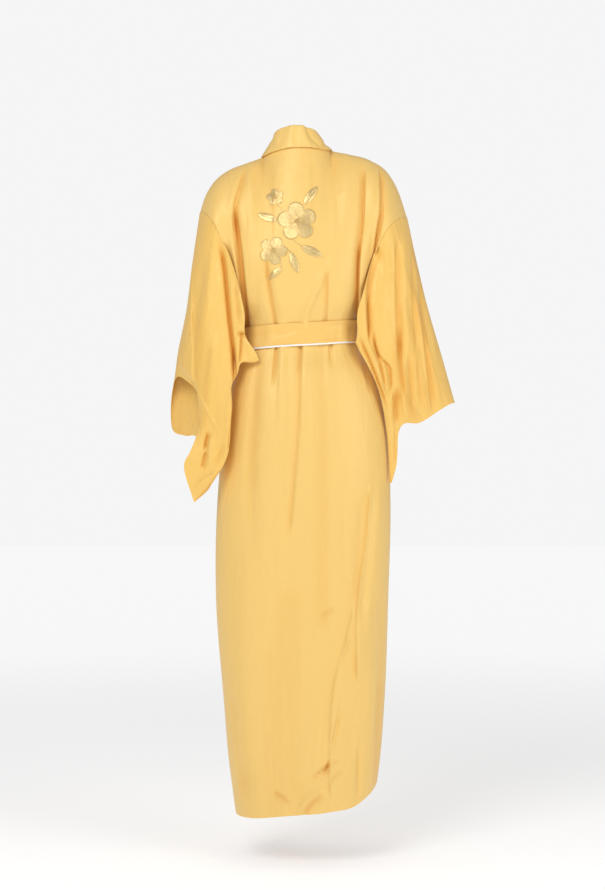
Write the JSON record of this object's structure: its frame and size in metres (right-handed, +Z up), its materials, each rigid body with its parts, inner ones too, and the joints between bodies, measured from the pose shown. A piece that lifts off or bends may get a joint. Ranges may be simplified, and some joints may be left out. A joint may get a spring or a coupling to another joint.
{
  "type": "embroidered kimono",
  "caption": "Long worn kimono of plain yellow silk satin with wide hanging sleeves, a folded collar band, a piped tie belt and a raised gold flower spray on its back.",
  "frame": {"origin": "the nape, level with the top of the shoulders, on the centre line of the back, where the garment rests on whoever wears it", "axes": "+Z up, +Y out of the back, +X to the wearer's left"},
  "size_m": [0.6369, 0.2825, 1.5163],
  "materials": {
    "robe_satin": "silky satin",
    "belt_satin": "silky satin",
    "white_cord": "matte",
    "gold_thread": "metallic thread satin stitch"
  },
  "bodies": {
    "root": {"body_left": "robe_satin", "body_right": "robe_satin", "overlap_left": "robe_satin", "overlap_right": "robe_satin", "sleeve_left": "robe_satin", "sleeve_right": "robe_satin", "collar": "robe_satin", "belt_band": "belt_satin", "belt_knot": "belt_satin", "belt_end_left": "belt_satin", "belt_end_right": "belt_satin", "belt_piping": "white_cord", "piping_end_left": "white_cord", "piping_end_right": "white_cord", "flower_1": "gold_thread", "flower_2": "gold_thread", "flower_3": "gold_thread", "leaf_1": "gold_thread", "leaf_2": "gold_thread", "leaf_3": "gold_thread", "leaf_4": "gold_thread", "leaf_5": "gold_thread"}
  },
  "joints": []
}
